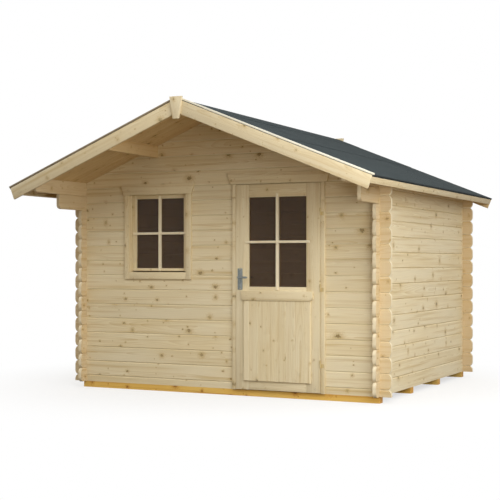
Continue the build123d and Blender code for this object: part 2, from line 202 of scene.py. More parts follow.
sky_light = 0.80
horizon = (0.80, 0.75, 0.65, 1)
zenith = (1.28, 1.27, 1.25, 1)
world = bpy.data.worlds.new("pale sky")
scene.world = world
world.use_nodes = True
sky = world.node_tree
sky.nodes.clear()
sky_up = split_up(sky, "XYZ", add_node(sky, "TexCoord").outputs["Generated"])[2]
sky_colour = mix_colour(sky, step_between(sky, sky_up, 0.0, 0.8), horizon, zenith)
filling_sky = wired(sky, "Background", sky_colour, sky_light)
shown_sky = wired(sky, "Background", (1, 1, 1, 1))
sky_choice = wired(sky, "MixShader", seen_directly(sky), filling_sky, shown_sky)
feed(sky, add_node(sky, "OutputWorld").inputs["Surface"], sky_choice)
scene.view_settings.view_transform = "Standard"
print("sky set, with a strength of", sky_light)

# %% Floor
def set_material(piece, material):
    piece.data.materials.clear()
    piece.data.materials.append(material)


floor_size = 120
bounce_colour = (0.11, 0.07, 0.03, 1)
shadow_colour = (0.9, 0.9, 0.9, 1)
shadow_fade = (1.6, 3.4)
shadow_share = 0.35
ground = bpy.data.materials.new("pale floor")
ground.use_nodes = True
tree = ground.node_tree
tree.nodes.clear()
near_house = step_between(tree, length_of(tree, object_place(tree)), *shadow_fade, shadow_share, 0.0)
white = wired(tree, "Emission")
shaded = wired(tree, "BsdfDiffuse", shadow_colour)
shown = wired(tree, "MixShader", near_house, white, shaded)
dull = wired(tree, "BsdfDiffuse", bounce_colour)
choice = wired(tree, "MixShader", seen_directly(tree), dull, shown)
feed(tree, add_node(tree, "OutputMaterial").inputs["Surface"], choice)

clear_selection()
bpy.ops.mesh.primitive_plane_add(size=floor_size)
floor = bpy.context.object
floor.name = "floor"
set_material(floor, ground)
print("floor of", floor_size, "m set")

# %% [markdown]
# The photo's light is soft. The front is brightest at its right end and weakens towards the left, as it does
# with a lamp near the right front corner, and that lamp also keeps the side wall as bright as the front. A
# weaker lamp in front lifts the door, and a low warm one reaches under the right half of the roof. All are
# area lamps, since a large lamp has a soft shadow, and the wall under the roof then falls into shade with no
# hard edge. The camera doesn't see them, so that no other view has a lamp in it.

# %% Lamps
cool_white = (0.97, 0.99, 1.0)
warm_white = (1.0, 0.98, 0.92)


def soft_lamp(name, place, target, size, watts, colour):
    turn = (Vector(target) - Vector(place)).to_track_quat("-Z", "Y").to_euler()
    clear_selection()
    bpy.ops.object.light_add(type="AREA", location=place, rotation=turn)
    lamp = bpy.context.object
    lamp.name = name
    lamp.data.shape = "DISK"
    lamp.data.size = size
    lamp.data.energy = watts
    lamp.data.color = colour
    lamp.visible_camera = False


soft_lamp("front_lamp", (2.6, -5.2, 5.2), (0.8, -0.9, 0.5), 2.5, 84, cool_white)
soft_lamp("right_lamp", (6.4, -3.0, 3.2), (1.3, -0.1, 1.0), 3.6, 123, cool_white)
soft_lamp("low_lamp", (3.8, -3.9, 1.2), (1.1, -0.9, 1.3), 2.0, 49, warm_white)
print("three lamps set in front and at the right")

# %% [markdown]
# Planed spruce is most of what shows, so its grain is made once, as a node group, and placed in every wood
# material. The group works in metres, with X along the board, Y across its face and Z through it. Each board
# has a number, and white noise turns the number into chance values, so that neighbouring boards differ in
# tone and never line up.

# %% Spruce grain group: sockets and board numbers
grain = bpy.data.node_groups.new("spruce grain", "ShaderNodeTree")
for name, kind in (
    ("Place", "Vector"), ("Board", "Float"), ("Knots", "Float"),
    ("Pale", "Color"), ("Warm", "Color"), ("Line", "Color"), ("Knot", "Color"),
):
    grain.interface.new_socket(name, in_out="INPUT", socket_type="NodeSocket" + kind)
for name, kind in (("Color", "Color"), ("Roughness", "Float"), ("Height", "Float")):
    grain.interface.new_socket(name, in_out="OUTPUT", socket_type="NodeSocket" + kind)
given = grain.nodes.new("NodeGroupInput").outputs
chance_node = add_node(grain, "TexWhiteNoise", noise_dimensions="1D")
feed(grain, chance_node.inputs["W"], given["Board"])
chance_a, chance_b, chance_c = split_up(grain, "Color", chance_node.outputs["Color"])
lengthwise, across, through = split_up(grain, "XYZ", given["Place"])
along = calc(grain, "ADD", lengthwise, calc(grain, "MULTIPLY", chance_a, 47.0))
print("grain group: each board has chance values of its own")

# %% [markdown]
# A knot is a branch cut across. A Voronoi texture scatters one point in each cell of the board's face, and
# the distance to that point, in metres, draws the knot: a dark rim, a redder heart and a warm halo where the
# fibres bend. Only a share of the cells keeps its knot, sizes and shapes differ, and some knots are pale. A
# second layer with smaller cells adds the pin knots between them.

# %% Spruce grain group: knots
def scatter_knots(cell, smallest, spread, kept_share):
    """Masks for the knot, its heart and its halo, with one knot at most in each cell of the board's face."""
    shift = calc(grain, "MULTIPLY", chance_b, 91.0)
    cell_across = calc(grain, "ADD", calc(grain, "DIVIDE", across, cell[1]), shift)
    cell_place = wired(grain, "CombineXYZ", calc(grain, "DIVIDE", along, cell[0]), cell_across, 0.0)
    cells = voronoi(grain, cell_place, 1.0, voronoi_dimensions="2D")
    kept_chance, size_chance, shape_chance = split_up(grain, "Color", cells["Color"])
    away = wired(grain, "VectorMath", cell_place, cells["Position"], operation="SUBTRACT")
    metres = stretch(grain, away, (*cell, 0.0))
    long_knot = scaled(grain, shape_chance, 0.7, 0.6)
    shaped = stretch(grain, metres, wired(grain, "CombineXYZ", long_knot, 1.0, 1.0))
    wobble = scaled(grain, noise(grain, given["Place"], 120.0, 2.0), 2.4, -0.2)
    distance = calc(grain, "MULTIPLY", length_of(grain, shaped), wobble)
    size = scaled(grain, calc(grain, "POWER", size_chance, 2.0), spread, smallest)
    share = calc(grain, "DIVIDE", distance, size)
    kept = calc(grain, "LESS_THAN", kept_chance, kept_share)
    depth = calc(grain, "MULTIPLY", kept, scaled(grain, shape_chance, -0.7, 1.0))
    core = calc(grain, "MULTIPLY", step_between(grain, share, 0.6, 1.3, 1.0, 0.0), depth)
    heart = step_between(grain, share, 0.1, 0.8, 1.0, 0.0)
    halo = calc(grain, "MULTIPLY", step_between(grain, share, 0.8, 4.0, 1.0, 0.0), kept)
    return core, heart, halo


pin_share = calc(grain, "MULTIPLY", given["Knots"], 0.4)
big_knots = scatter_knots((0.30, 0.112), 0.0045, 0.0105, given["Knots"])
pin_knots = scatter_knots((0.17, 0.07), 0.0022, 0.0026, pin_share)
core, heart, halo = [calc(grain, "MAXIMUM", big, pin) for big, pin in zip(big_knots, pin_knots)]
print("grain group: knots drawn")

# %% [markdown]
# Year rings are cylinders round the tree's pith. A board is cut beside the pith, so the distance from a line
# behind the board gives wide flames in the middle of its face and close lines at its edges. A slow noise lets
# the rings wander, and the halo of a knot pushes them aside. Fine fibres and slow stains are noises stretched
# along the board.

# %% Spruce grain group: rings, fibres and stains
ring_gap = 0.0062
grain_place = wired(grain, "CombineXYZ", along, across, through)


def drawn_out(factors, detail=2.0):
    return noise(grain, stretch(grain, grain_place, factors), 1.0, detail)


pith_across = scaled(grain, chance_b, 0.14, -0.07)
pith_through = scaled(grain, chance_c, 0.07, 0.03)
aside = calc(grain, "SUBTRACT", across, pith_across)
behind = calc(grain, "SUBTRACT", through, pith_through)
from_pith = length_of(grain, wired(grain, "CombineXYZ", 0.0, aside, behind))
bent = scaled(grain, halo, 0.008, from_pith)
ring_place = scaled(grain, drawn_out((0.8, 5.0, 5.0)), 0.09, bent)
ring_phase = calc(grain, "FRACT", calc(grain, "DIVIDE", ring_place, ring_gap))
late_wood = calc(grain, "POWER", ring_phase, 2.2)
fibre = drawn_out((5.0, 260.0, 260.0))
streak = drawn_out((0.9, 34.0, 34.0), 3.0)
stain = drawn_out((1.3, 6.0, 6.0))
print("grain group: rings", ring_gap * 1000, "mm apart")

# %% [markdown]
# The colours are laid over each other from the broad to the fine: the board's own tone, slow stains, streaks,
# rings, the knot's halo and the knot. Late wood is a little harder and stands proud, and knots are smoother,
# so the same masks also drive the roughness and a height for the bump.

# %% Spruce grain group: colour, roughness and height
warmth = scaled(grain, chance_c, 0.24, scaled(grain, stain, 1.3, -0.45))
colour = mix_colour(grain, step_between(grain, warmth, 0.0, 1.0), given["Pale"], given["Warm"])
line_share = calc(grain, "MULTIPLY", late_wood, scaled(grain, streak, 0.7, 0.05))
colour = mix_colour(grain, line_share, colour, given["Line"])
streak_share = step_between(grain, streak, 0.48, 0.76, 0.0, 0.6)
colour = mix_colour(grain, streak_share, colour, given["Line"])
light = scaled(grain, chance_a, 0.06, scaled(grain, fibre, 0.2, 0.87))
colour = mix_colour(grain, 1.0, colour, wired(grain, "CombineXYZ", light, light, light), "MULTIPLY")
colour = mix_colour(grain, calc(grain, "MULTIPLY", halo, 0.6), colour, given["Line"])
heart_colour = mix_colour(grain, heart, given["Knot"], given["Line"])
heart_colour = mix_colour(grain, 0.55, heart_colour, given["Knot"])
colour = mix_colour(grain, calc(grain, "MULTIPLY", core, 0.92), colour, heart_colour)
rough = scaled(grain, fibre, 0.16, scaled(grain, core, -0.12, 0.52))
height = scaled(grain, late_wood, 0.5, scaled(grain, fibre, 0.5, core))
result = grain.nodes.new("NodeGroupOutput")
feed_all(grain, result, {"Color": colour, "Roughness": rough, "Height": height})
print("grain group:", len(grain.nodes), "nodes")

# %% [markdown]
# A wood material places the group, gives it four tones and lets it drive the shader: its colour and
# roughness go straight in, and its height bends the normal through a Bump node.

# %% Wood tones and the grain on a shader
grain_depth = 0.0006


def wood_tones(pale, warm, line, knot):
    names = ("Pale", "Warm", "Line", "Knot")
    return {name: tone(*shade) for name, shade in zip(names, (pale, warm, line, knot))}


def new_material(name):
    material = bpy.data.materials.new(name)
    material.use_nodes = True
    return material, material.node_tree, material.node_tree.nodes["Principled BSDF"]


def relief(tree, height, strength, depth):
    """A normal that is bent by a height, whose depth is in metres."""
    bump = add_node(tree, "Bump")
    feed_all(tree, bump, {"Height": height, "Strength": strength, "Distance": depth})
    return bump.outputs[0]


def lay_spruce(tree, shader, place, board, colours, knots, bump=0.35):
    """Place the grain group and feed the shader from it. Returns the group's colour socket."""
    group = add_node(tree, "Group", node_tree=grain)
    feed_all(tree, group, {"Place": place, "Board": board, "Knots": knots, **colours})
    feed_all(tree, shader, {
        "Roughness": group.outputs["Roughness"],
        "Normal": relief(tree, group.outputs["Height"], bump, grain_depth),
        "Specular IOR Level": 0.3,
    })
    return group.outputs["Color"]


spruce_colours = wood_tones((236, 224, 193), (227, 208, 165), (200, 172, 114), (98, 78, 40))
joist_colours = wood_tones((238, 200, 110), (228, 178, 76), (184, 118, 36), (112, 58, 18))
print("tones ready for spruce and for treated joists")

# %% [markdown]
# A material from the group needs the place on the board and the board's number. The log walls stay CAD nodes,
# so both come from Object coordinates: the height, counted in courses, numbers the logs, and the side of the
# house adds to it. More masks come from the same coordinates and from the normals. The bottom of each seam is
# darkened a little, as painted shade in the groove. The tips that reach past the corners are browner, and more
# so towards the rear: painted shade for the shade and warm bounce where the walls meet. The log ends, whose
# normal points along the log, are mixed towards a pale cream, a painted highlight for the light on their
# rounded ends, and so are the undersides of the front's seams, as painted light in the grooves. On the joists
# the ends take the darker line tone instead, partly end grain and partly painted shade.

# %% Log material
course = 0.130
far_numbers = 40.0
split_numbers = 90.0
tip_edge = 0.002
# Painted shade: the browner tone of the log tips past the corners.
tip_painted_shade_colour = tone(198, 164, 116)
# Painted highlight: a pale cream for the lit log ends and for the undersides of the front's seams.
painted_highlight_colour = tone(244, 235, 208)


def log_material(
    name, runs, first_seam, tips=None, split_at=None, underside_highlight=0.0, colours=spruce_colours, knots=0.58
):
    """Logs along axis 0 or 1, numbered by course and side of the house.

    The tips lie outside two places along the log, and their painted shade has a share and a rise from the
    front to the rear. On the near side, new logs start past a place along the wall and below a height,
    split_at. The undersides of the seams take a share of the pale highlight colour, as painted light.
    """
    material, tree, shader = new_material(name)
    place = split_up(tree, "XYZ", object_place(tree))
    lengthwise = place[runs]
    crosswise = place[1 - runs]
    level = calc(tree, "DIVIDE", calc(tree, "SUBTRACT", place[2], first_seam), course)
    upright = calc(tree, "MULTIPLY", calc(tree, "SUBTRACT", calc(tree, "FRACT", level), 0.5), course)
    far_side = calc(tree, "GREATER_THAN", crosswise, 0.0)
    board = scaled(tree, far_side, far_numbers, calc(tree, "FLOOR", level))
    if split_at:
        beyond = calc(tree, "GREATER_THAN", lengthwise, split_at[0])
        below = calc(tree, "LESS_THAN", place[2], split_at[1])
        near_side = calc(tree, "SUBTRACT", calc(tree, "MULTIPLY", beyond, below), far_side)
        board = scaled(tree, calc(tree, "MAXIMUM", near_side, 0.0), split_numbers, board)
    depth = calc(tree, "PINGPONG", crosswise, 0.05)
    board_place = wired(tree, "CombineXYZ", lengthwise, upright, depth)
    colour = lay_spruce(tree, shader, board_place, board, colours, knots)
    if tips:
        # Painted shade: the tips past the corners are mixed towards the browner tone, more towards the rear.
        short_of = step_between(tree, lengthwise, tips[0] - tip_edge, tips[0] + tip_edge, 1.0, 0.0)
        past = step_between(tree, lengthwise, tips[1] - tip_edge, tips[1] + tip_edge)
        share = scaled(tree, place[1], tips[3], tips[2])
        tip_painted_shade = calc(tree, "MULTIPLY", calc(tree, "MAXIMUM", short_of, past), share)
        colour = mix_colour(tree, tip_painted_shade, colour, tip_painted_shade_colour)
    normal = split_up(tree, "XYZ", add_node(tree, "NewGeometry").outputs["True Normal"])
    # The ends take the painted highlight colour on the logs. On the joists they take the darker line tone,
    # partly end grain and partly painted shade.
    end = step_between(tree, calc(tree, "ABSOLUTE", normal[runs]), 0.25, 0.7, 0.0, 0.55)
    colour = mix_colour(tree, end, colour, painted_highlight_colour if tips else colours["Line"])
    # Painted light: the undersides of the seams are paler.
    underside_painted_light = step_between(tree, normal[2], -0.5, -0.15, underside_highlight, 0.0)
    colour = mix_colour(tree, underside_painted_light, colour, painted_highlight_colour)
    # Painted shade: the bottom of each seam is darkened towards the knot colour.
    from_seam = calc(tree, "SUBTRACT", course / 2, calc(tree, "ABSOLUTE", upright))
    seam_painted_shade = step_between(tree, from_seam, 0.0005, 0.0050, 0.06, 0.0)
    colour = mix_colour(tree, seam_painted_shade, colour, colours["Knot"])
    feed(tree, shader.inputs["Base Color"], colour)
    return material


print("log material ready for courses of", course * 1000, "mm")

# %% Wood on the logs and joists
wall_foot = 0.045
joist_seam = -0.03
past_jamb = 0.1
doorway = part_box("door_head")
left_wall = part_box("left_wall_logs")
right_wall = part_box("right_wall_logs")
front_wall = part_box("front_wall_left_logs")
rear_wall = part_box("rear_wall_logs")
front_logs = log_material(
    "front logs", 0, wall_foot + course / 2, (left_wall[0].x, right_wall[1].x, 0.42, 0.10),
    (doorway[0].x + past_jamb, doorway[1].z), 0.8,
)
side_logs = log_material("side logs", 1, wall_foot, (front_wall[0].y, rear_wall[1].y, 0.38, 0.0))
joist_wood = log_material("treated joists", 0, joist_seam, colours=joist_colours, knots=0.95)
front_names = ["front_wall_left_logs", "front_wall_right_logs", "rear_wall_logs", "front_gable_logs"]
for material, names in (
    (front_logs, front_names + ["rear_gable_logs"]),
    (side_logs, ["left_wall_logs", "right_wall_logs"]),
    (joist_wood, [f"floor_joist_{index}" for index in (1, 2, 3, 4)]),
):
    for name in names:
        set_material(nodes[name], material)
print("log materials:", front_logs.name, side_logs.name, joist_wood.name)

# %% [markdown]
# Every other board has its own direction: upright stiles, level rails, sloping barge boards. A CAD board also
# has knife sharp edges, where a planed one is eased and catches a thin line of light. So each board is
# copied, its triangles are merged into flat faces, and a Bevel modifier rounds the sharp edges. Then the
# place on the board is stored with the mesh: the longest edge gives the grain, the largest face the board's
# face, and each loose part is a board with its own number.

# %% Helpers for pieces
near = 0.0005
aligned = 0.9
ease_angle = math.radians(35)
smooth_angle = math.radians(40)


def select_only(*pieces):
    """Select these pieces alone, with the first one active."""
    clear_selection()
    for piece in pieces:
        piece.select_set(True)
    bpy.context.view_layer.objects.active = pieces[0]


def select_whole():
    """In edit mode, select all of the active piece."""
    bpy.ops.object.mode_set(mode="EDIT")
    bpy.ops.mesh.select_all(action="SELECT")


def pick(kind, test):
    """In edit mode, select only the faces or edges whose middle and normal or direction pass the test."""
    bpy.ops.object.mode_set(mode="EDIT")
    bpy.ops.mesh.select_mode(type=kind)
    bpy.ops.mesh.select_all(action="DESELECT")
    mesh = bmesh.from_edit_mesh(bpy.context.object.data)
    for face in mesh.faces if kind == "FACE" else []:
        face.select_set(test(face.calc_center_median(), face.normal))
    for edge in mesh.edges if kind == "EDGE" else []:
        ends = [vertex.co for vertex in edge.verts]
        edge.select_set(test((ends[0] + ends[1]) / 2, (ends[1] - ends[0]).normalized()))
    mesh.select_flush_mode()
    bmesh.update_edit_mesh(bpy.context.object.data)


def apply_modifier(piece, kind, **settings):
    select_only(piece)
    modifier = piece.modifiers.new(kind.lower(), kind)
    for name, value in settings.items():
        setattr(modifier, name, value)
    bpy.ops.object.modifier_apply(modifier=modifier.name)


def ease_edges(piece, width):
    apply_modifier(piece, "BEVEL", width=width, segments=2, limit_method="ANGLE", angle_limit=ease_angle)
    bpy.ops.object.shade_smooth_by_angle(angle=smooth_angle)


def finish_piece(piece, body, slot, material, *stands_for):
    """Give a piece its material and body, and hide the CAD nodes that it stands for. The slot is not used."""
    clear_selection()
    set_material(piece, material)
    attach(piece, body)
    if stands_for:
        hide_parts(*stands_for)
    return piece


print("piece helpers ready")

# %% Number the boards and lay their grain
board_count = 0
first_number = 417


def loose_parts(mesh):
    """The mesh's vertices, grouped by the loose part that they belong to."""
    parts = []
    seen = set()
    for start in mesh.verts:
        if start in seen:
            continue
        part = {start}
        edge_of_part = [start]
        while edge_of_part:
            vertex = edge_of_part.pop()
            for edge in vertex.link_edges:
                other = edge.other_vert(vertex)
                if other not in part:
                    part.add(other)
                    edge_of_part.append(other)
        seen |= part
        parts.append(sorted(part, key=lambda vertex: vertex.index))
    return parts


def lay_grain(piece):
    """Store each board's number, and the place on the board, as attributes for the wood materials."""
    global board_count
    mesh = bmesh.new()
    mesh.from_mesh(piece.data)
    mesh.verts.index_update()
    places = [Vector()] * len(mesh.verts)
    numbers = [0.0] * len(mesh.verts)
    for part in loose_parts(mesh):
        board_count += 1
        edges = {edge for vertex in part for edge in vertex.link_edges}
        faces = {face for vertex in part for face in vertex.link_faces}
        longest = max(edges, key=lambda edge: (round(edge.calc_length(), 6), -edge.index))
        run = (longest.verts[1].co - longest.verts[0].co).normalized()
        if sum(run) < 0:
            run = -run
        widest = max(faces, key=lambda face: (round(face.calc_area(), 9), -face.index))
        out = (widest.normal - widest.normal.project(run)).normalized()
        side = out.cross(run)
        middle = sum((vertex.co for vertex in part), Vector()) / len(part)
        for vertex in part:
            offset = vertex.co - middle
            places[vertex.index] = Vector((offset.dot(run), offset.dot(side), offset.dot(out)))
            numbers[vertex.index] = float(board_count + first_number)
    mesh.free()
    place_store = piece.data.attributes.new("board_place", "FLOAT_VECTOR", "POINT")
    place_store.data.foreach_set("vector", [value for place in places for value in place])
    number_store = piece.data.attributes.new("board_number", "FLOAT", "POINT")
    number_store.data.foreach_set("value", numbers)


def finish_boards(piece, body, material, *stands_for):
    lay_grain(piece)
    return finish_piece(piece, body, "pale_wood", material, *stands_for)


print("grain starts at board", first_number + 1)

# %% [markdown]
# The boards are not all alike. The frames and the door leaf are planed spruce as the logs are, the glazing
# bars are paler and almost clear of knots, and the barge boards have more of them. The purlins, the roof
# boards and the rear barge boards take a warmer, darker tone: painted shade, for the warm shade under and
# behind the roof. A thin lath closes each front edge of the roof: the right one is pale, its own paint
# lightened by a painted highlight, and the left one is dark brown, as painted shade for the dark line along
# that edge. All take the same grain group, with tones and knots of their own.

# %% Board materials
# Painted shade: a warmer, darker spruce for the purlins, roof boards and rear barge boards under and behind
# the roof.
shade_warm_tones = wood_tones((222, 198, 152), (212, 180, 128), (184, 146, 92), (104, 74, 38))
bar_tones = wood_tones((246, 237, 212), (240, 227, 194), (220, 200, 158), (140, 114, 76))
barge_tones = wood_tones((229, 217, 187), (220, 201, 160), (194, 166, 110), (98, 78, 40))
# The right lath: its own pale paint, lightened further as a painted highlight.
lit_lath_tones = wood_tones((246, 242, 226), (240, 234, 214), (226, 217, 192), (190, 172, 138))
# The left lath: a dark brown that is painted shade, for the dark line along that edge of the roof.
shaded_lath_tones = wood_tones((146, 131, 106), (134, 118, 92), (112, 97, 73), (80, 67, 48))


def board_material(name, colours, knots, bump=0.35):
    """Spruce that follows the stored place on each board."""
    material, tree, shader = new_material(name)
    place = add_node(tree, "Attribute", attribute_name="board_place").outputs["Vector"]
    board = add_node(tree, "Attribute", attribute_name="board_number").outputs["Fac"]
    colour = lay_spruce(tree, shader, place, board, colours, knots, bump)
    feed(tree, shader.inputs["Base Color"], colour)
    return material


spruce = board_material("planed spruce", spruce_colours, 0.62)
bar_wood = board_material("pale bar spruce", bar_tones, 0.3)
barge_wood = board_material("barge spruce", barge_tones, 0.8)
shaded_warm_spruce = board_material("warm spruce with painted shade", shade_warm_tones, 0.75)
lit_lath_wood = board_material("pale painted lath", lit_lath_tones, 0.2, 0.2)
shaded_lath_wood = board_material("dark lath as painted shade", shaded_lath_tones, 0.2, 0.2)
print("board materials:", spruce.name, shaded_warm_spruce.name, lit_lath_wood.name)

# %% Ease the edges of the CAD boards
def eased_copy(node, ease=0.0016):
    """A copy of a CAD node with merged faces and rounded edges."""
    piece = bpy.data.objects.new(node + "_eased", nodes[node].data.copy())
    scene.collection.objects.link(piece)
    select_only(piece)
    select_whole()
    bpy.ops.mesh.remove_doubles(threshold=0.00001)
    bpy.ops.mesh.dissolve_limited(angle_limit=math.radians(1))
    bpy.ops.object.mode_set(mode="OBJECT")
    ease_edges(piece, ease)
    lay_grain(piece)
    return piece


frame_boards = [
    "door_left_jamb", "door_right_jamb", "door_head", "door_threshold", "door_header",
    "window_lining", "window_sash", "window_header",
]
roof_boards = [
    "left_eave_fascia", "right_eave_fascia", "front_left_barge_board", "front_right_barge_board",
    "front_finial", "rear_finial",
]
leaf_boards = [
    "door_left_stile", "door_right_stile", "door_bottom_rail", "door_lock_rail", "door_top_rail",
    "door_drip_rail",
]
warm_boards = [
    "left_purlin", "right_purlin", "ridge_purlin", "rear_left_barge_board", "rear_right_barge_board",
]
for names, body, slot, material in (
    (frame_boards, "house", "pale_wood", spruce),
    (roof_boards, "house", "pale_wood", barge_wood),
    (leaf_boards, "door", "pale_wood", spruce),
    (warm_boards, "house", "pale_wood", shaded_warm_spruce),
    (["front_right_verge_lath"], "house", "white_edge", lit_lath_wood),
    (["front_left_verge_lath"], "house", "white_edge", shaded_lath_wood),
):
    for name in names:
        finish_piece(eased_copy(name), body, slot, material, name)
print("eased boards:", board_count)

# %% [markdown]
# The lower half of the door is faced with upright boards that meet in V joints: six whole ones, and a
# narrower one at each side. One board is a block with its two long front edges cut off by a bevel. The boards
# stand side by side, each a part of its own so that each gets its own grain, and are joined to one piece.

# %% Helpers for blocks
def start_block(name, corner, opposite):
    """A cube primitive between two opposite corners, with its place in its mesh."""
    clear_selection()
    middle = [(a + b) / 2 for a, b in zip(corner, opposite)]
    size = [abs(b - a) for a, b in zip(corner, opposite)]
    bpy.ops.mesh.primitive_cube_add(size=1, location=middle, scale=size)
    piece = bpy.context.object
    piece.name = name
    bpy.ops.object.transform_apply(location=True, rotation=True, scale=True)
    return piece


def bevel_edges(test, offset, segments=1):
    """Bevel the edges whose middle and direction pass the test."""
    pick("EDGE", test)
    bpy.ops.mesh.bevel(offset=offset, segments=segments, affect="EDGES")


def join_pieces(name, pieces):
    select_only(*pieces)
    if len(pieces) > 1:
        bpy.ops.object.join()
    joined = bpy.context.view_layer.objects.active
    joined.name = name
    joined.data.name = name
    return joined


print("block helpers ready")

# %% Door panel boards
panel_low, panel_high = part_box("door_panel")
whole_boards = 6
board_w = 0.085
joint_cut = 0.0032
joint_gap = 0.0001
panel_ease = 0.0015
edge_w = (panel_high.x - panel_low.x - whole_boards * board_w) / 2
inner_joints = [panel_low.x + edge_w + board_w * index for index in range(whole_boards + 1)]
joints = [panel_low.x, *inner_joints, panel_high.x]
boards = []
for left, right in zip(joints[:-1], joints[1:]):
    board = start_block(
        "panel_board", (left + joint_gap, panel_low.y, panel_low.z),
        (right - joint_gap, panel_high.y, panel_high.z),
    )
    bevel_edges(lambda middle, run: abs(run.z) > aligned and middle.y < panel_low.y + near, joint_cut)
    bevel_edges(lambda middle, run: abs(run.x) > aligned and middle.y < panel_low.y + near, panel_ease, 2)
    clear_selection()
    boards.append(board)
finish_boards(join_pieces("door_panel_boards", boards), "door", spruce, "door_panel")
print("door panel:", len(boards), "boards")

# %% [markdown]
# The window's casing is three boards on the log face: two uprights that run down to the foot, and a foot
# board that is fitted between them, so that two short joints show. Each is a block, and a Bevel modifier
# eases its edges.

# %% Window casing boards
casing_low, casing_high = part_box("window_casing")
upright_w = 0.049
upright_past = 0.005
foot_h = 0.062
foot_gap = 0.0002
casing_ease = 0.002
foot_ends = (casing_low.x + upright_w + foot_gap, casing_high.x - upright_w - foot_gap)
casing_boards = []
for left, right, top in (
    (casing_low.x, foot_ends[0] - 2 * foot_gap, casing_high.z),
    (*foot_ends, casing_low.z + foot_h),
    (foot_ends[1] + 2 * foot_gap, casing_high.x + upright_past, casing_high.z),
):
    board = start_block("casing_board", (left, casing_low.y, casing_low.z), (right, casing_high.y, top))
    ease_edges(board, casing_ease)
    casing_boards.append(board)
finish_boards(join_pieces("window_casing_boards", casing_boards), "house", spruce, "window_casing")
print("window casing:", len(casing_boards), "boards")

# %% [markdown]
# Glazing bars divide the panes into four. Each bar laps over the frame with a slanted end, and between the
# frame members it is deeper and reaches back to the glass. So a block is made for the lap, its front edges
# are bevelled, two bisects mark where the pane begins and ends, and the back between the marks is extruded to
# the glass. The upright bar is whole, and the level bar is in two halves that butt against it.

# %% Glazing bar
bar_w = 0.0215
bar_proud = 0.009
bar_slant = 0.0075
bar_round = 0.004
pane_gap = 0.0004
glass_gap = 0.0003
axes = (Vector((1, 0, 0)), Vector((0, 1, 0)), Vector((0, 0, 1)))


def cut_across(axis, *places):
    """Bisect the whole active piece at places on an axis."""
    for place in places:
        select_whole()
        bpy.ops.mesh.bisect(plane_co=axes[axis] * place, plane_no=axes[axis])


def extrude(*move):
    bpy.ops.mesh.extrude_region_move(TRANSFORM_OT_translate={"value": move})


def glazing_bar(axis, middle, pane, laps, face_y, glass_y):
    """A bar along axis 0 or 2. Its lap stands proud of face_y, on the side away from glass_y."""
    out = -1 if face_y < glass_y else 1
    other = 2 - axis
    front_y = face_y + out * bar_proud
    low = Vector((0, face_y, 0))
    high = Vector((0, front_y, 0))
    low[axis], high[axis] = pane[0] - laps[0], pane[1] + laps[1]
    low[other], high[other] = middle - bar_w / 2, middle + bar_w / 2
    bar = start_block("glazing_bar", low, high)
    for end, lap in zip((low[axis], high[axis]), laps):
        if lap:
            bevel_edges(
                lambda place, run: abs(place.y - front_y) < near and abs(place[axis] - end) < near, bar_slant
            )
    bevel_edges(lambda place, run: abs(place.y - front_y) < near and abs(run[axis]) > aligned, bar_round, 3)
    for mark, lap in zip((pane[0] + pane_gap, pane[1] - pane_gap), laps):
        if lap:
            cut_across(axis, mark)
    pick("FACE", lambda place, normal: normal.y * out < -aligned and pane[0] < place[axis] < pane[1])
    extrude(0, glass_y - face_y + out * glass_gap, 0)
    clear_selection()
    return bar


print("glazing bar", bar_w * 1000, "mm wide")

# %% Bars in the door and the window
def barred_pane(name, glass_node, faces, laps, body):
    """One upright bar and two half bars on each face, where laps are those of the level and upright bars."""
    glass_low, glass_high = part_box(glass_node)
    middle = (glass_low + glass_high) / 2
    left_half = (glass_low.x, middle.x - bar_w / 2 - joint_gap)
    right_half = (middle.x + bar_w / 2 + joint_gap, glass_high.x)
    bars = []
    for sides in zip(faces, (glass_low.y, glass_high.y)):
        bars.append(glazing_bar(2, middle.x, (glass_low.z, glass_high.z), (laps[1], laps[1]), *sides))
        bars.append(glazing_bar(0, middle.z, left_half, (laps[0], 0), *sides))
        bars.append(glazing_bar(0, middle.z, right_half, (0, laps[0]), *sides))
    return finish_boards(join_pieces(name, bars), body, bar_wood)


leaf_low, leaf_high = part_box("door_left_stile")
sash_low, sash_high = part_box("window_sash")
barred_pane("door_glazing_bars", "door_glass", (leaf_low.y, leaf_high.y), (0.033, 0.031), "door")
barred_pane("window_glazing_bars", "window_glass", (sash_low.y, sash_high.y), (0.034, 0.026), "house")
print("glazing bars for the door and the window")

# %% [markdown]
# The roof is decked with narrow boards that run from the ridge down to the eave, and their undersides show
# under the overhangs. One board is a block with its lower long edges bevelled, turned to the roof's pitch and
# cut upright at the ridge by a bisect. An Array modifier then repeats it along the house. The floor inside is
# planked in the same way, with the bevel on top.

# %% Roof deck boards
roof_pitch = math.radians(22)
deck_count = 36
deck_t = 0.018
deck_gap = 0.0002
deck_cut = 0.0018
past_ridge = 0.05


def turn_to_pitch(side, ridge):
    """Turn the active flat piece about the ridge line to the roof's pitch, and cut it upright there."""
    select_whole()
    bpy.ops.transform.rotate(
        value=-side * roof_pitch, orient_axis="Y", center_override=ridge, orient_type="GLOBAL"
    )
    select_whole()
    bpy.ops.mesh.bisect(plane_co=ridge, plane_no=(side, 0, 0), use_fill=True, clear_inner=True)
    clear_selection()


def repeat(piece, count, step):
    apply_modifier(
        piece, "ARRAY", count=count, use_relative_offset=False, use_constant_offset=True,
        constant_offset_displace=step,
    )


